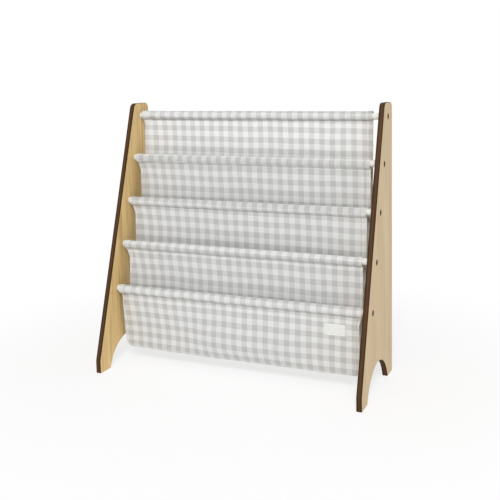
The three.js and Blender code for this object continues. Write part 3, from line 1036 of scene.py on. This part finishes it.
def refined_copy(node, name, materials):
    """A piece with a CAD node's exact surface, welded and shaded smoothly between its sharp edges."""
    source = bmesh.new()
    source.from_mesh(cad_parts[node].data)
    bmesh.ops.remove_doubles(source, verts=source.verts, dist=WELD_DISTANCE)
    bmesh.ops.dissolve_limit(source, angle_limit=FLAT_ANGLE, verts=source.verts, edges=source.edges)
    source.verts.ensure_lookup_table()
    source.verts.index_update()
    vertices = [vertex.co.copy() for vertex in source.verts]
    faces = [[vertex.index for vertex in face.verts] for face in source.faces]
    source.free()
    mesh = bpy.data.meshes.new(name)
    mesh.from_pydata(vertices, [], faces)
    mesh.shade_smooth()
    mesh.set_sharp_from_angle(angle=SHARP_ANGLE)
    piece = add_object(name, mesh, materials[0])
    for material in materials[1:]:
        mesh.materials.append(material)
    piece.modifiers.new("even_shading", "WEIGHTED_NORMAL").keep_sharp = True
    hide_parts(node)
    return piece


def ease_edges(piece, width, segments):
    """Rounds a piece's sharp edges a little, before its shading is evened. They take its first material."""
    bevel = piece.modifiers.new("eased", "BEVEL")
    bevel.width = width
    bevel.segments = segments
    bevel.limit_method = "ANGLE"
    bevel.angle_limit = SHARP_ANGLE
    bevel.material = 0
    piece.modifiers.move(len(piece.modifiers) - 1, 0)


def make_panel(side, sign):
    """A side panel. Its inner face is the same veneer with painted shade that makes it deeper than the paler
    outer one, and its cut edges are dark.
    """
    materials = [board_edge, outer_face, shaded_inner_face]
    piece = refined_copy(f"side_panel_{side}", f"board_{side}", materials)
    for polygon in piece.data.polygons:
        if abs(polygon.normal.x) > BOARD_FACE_NORMAL:
            polygon.material_index = 1 if polygon.normal.x * sign > 0 else 2
    ease_edges(piece, BOARD_EASING, BOARD_EASING_STEPS)


def make_rod(number):
    refined_copy(f"rod_{number}", f"rod_body_{number}", [rod_paint])


def make_screw(side, number):
    piece = refined_copy(f"screw_{side}_{number}", f"screw_{side}_body_{number}", [screw_metal])
    ease_edges(piece, SCREW_EASING, SCREW_EASING_STEPS)


def add_camera():
    forward = Vector((-math.sin(CAMERA_TURN), math.cos(CAMERA_TURN), 0))
    level_right = Vector((math.cos(CAMERA_TURN), math.sin(CAMERA_TURN), 0))
    up = Vector((0, 0, 1))
    view = forward * math.cos(CAMERA_PITCH) - up * math.sin(CAMERA_PITCH)
    level_up = up * math.cos(CAMERA_PITCH) + forward * math.sin(CAMERA_PITCH)
    right = level_right * math.cos(CAMERA_ROLL) + level_up * math.sin(CAMERA_ROLL)
    upward = level_up * math.cos(CAMERA_ROLL) - level_right * math.sin(CAMERA_ROLL)
    data = bpy.data.cameras.new("camera")
    data.sensor_width = SENSOR_WIDTH
    data.lens = FOCAL_LENGTH_PIXELS / IMAGE_SIDE * SENSOR_WIDTH
    data.shift_x = (IMAGE_SIDE / 2 - PRINCIPAL_PIXEL[0]) / IMAGE_SIDE
    data.shift_y = (PRINCIPAL_PIXEL[1] - IMAGE_SIDE / 2) / IMAGE_SIDE
    camera = bpy.data.objects.new("camera", data)
    turned = Matrix((right, upward, -view)).transposed().to_4x4()
    camera.matrix_world = Matrix.Translation(CAMERA_PLACE) @ turned
    bpy.context.scene.collection.objects.link(camera)
    bpy.context.scene.camera = camera


def add_light():
    data = bpy.data.lights.new("key", "AREA")
    data.energy = KEY_POWER
    data.size = KEY_SIZE
    lamp = bpy.data.objects.new("key", data)
    lamp.location = KEY_PLACE
    aim = Vector((0, 0, shelf_height / 2)) - Vector(KEY_PLACE)
    lamp.rotation_mode = "QUATERNION"
    lamp.rotation_quaternion = aim.to_track_quat("-Z", "Y")
    bpy.context.scene.collection.objects.link(lamp)


def add_sky():
    """Even light from all sides, and a white background where the sky is seen."""
    world = bpy.data.worlds.new("sky")
    bpy.context.scene.world = world
    world.use_nodes = True
    world.node_tree.nodes.clear()
    sky = Nodes(world.node_tree)

    def background(strength):
        return sky.fill(sky.add("ShaderNodeBackground"), Color=(1, 1, 1, 1), Strength=strength)

    mixed = sky.mixed_shaders(sky.seen_rays(), background(SKY_STRENGTH), background(1))
    sky.feed(sky.add("ShaderNodeOutputWorld").inputs["Surface"], mixed)


def add_floor():
    half = FLOOR_SIZE / 2
    corners = [(-half, -half, 0), (half, -half, 0), (half, half, 0), (-half, half, 0)]
    mesh = bpy.data.meshes.new("floor")
    mesh.from_pydata(corners, [], [(0, 1, 2, 3)])
    mesh.materials.append(floor_material())
    floor = bpy.data.objects.new("floor", mesh)
    bpy.context.scene.collection.objects.link(floor)


# Places that follow from the frame
panel_low, panel_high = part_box("side_panel_right")
shelf_width = 2 * panel_high.x
shelf_height = panel_high.z
board_thickness = panel_high.x - panel_low.x
panel_middle = (panel_low.x + panel_high.x) / 2
pocket_left = -panel_low.x + POCKET_LEFT_GAP
pocket_right = panel_low.x - POCKET_RIGHT_GAP
rods = [Rod(number) for number in range(1, ROD_COUNT + 1)]

gingham = gingham_material()
thread = thread_material()
tape = label_material()
# One veneer on both faces: the inner face's deeper, more yellow colours are painted shade and reflected
# light.
outer_colours = (srgb(218, 192, 147), srgb(206, 179, 134), srgb(185, 155, 111))
shaded_inner_colours = (srgb(226, 195, 132), srgb(211, 178, 117), srgb(175, 138, 82))
outer_face = wood_face_material("outer_veneer", *outer_colours, OUTER_STREAKS)
shaded_inner_face = wood_face_material("inner_veneer_painted_shade", *shaded_inner_colours, INNER_STREAKS)
board_edge = wood_edge_material(panel_middle, board_thickness)
rod_paint = rod_material()
screw_metal = screw_material()

for side_name, side_sign in (("left", -1), ("right", 1)):
    make_panel(side_name, side_sign)
for shelf_rod in rods:
    make_rod(shelf_rod.number)
    for side_name in ("left", "right"):
        make_screw(side_name, shelf_rod.number)
for shelf_rod in rods:
    make_sleeve(shelf_rod)
shelf_pockets = [make_pocket(number) for number in range(1, ROD_COUNT)]
make_label(shelf_pockets[-1])

add_camera()
add_light()
add_sky()
add_floor()
bpy.context.scene.view_settings.view_transform = "Standard"

bpy.context.view_layer.update()
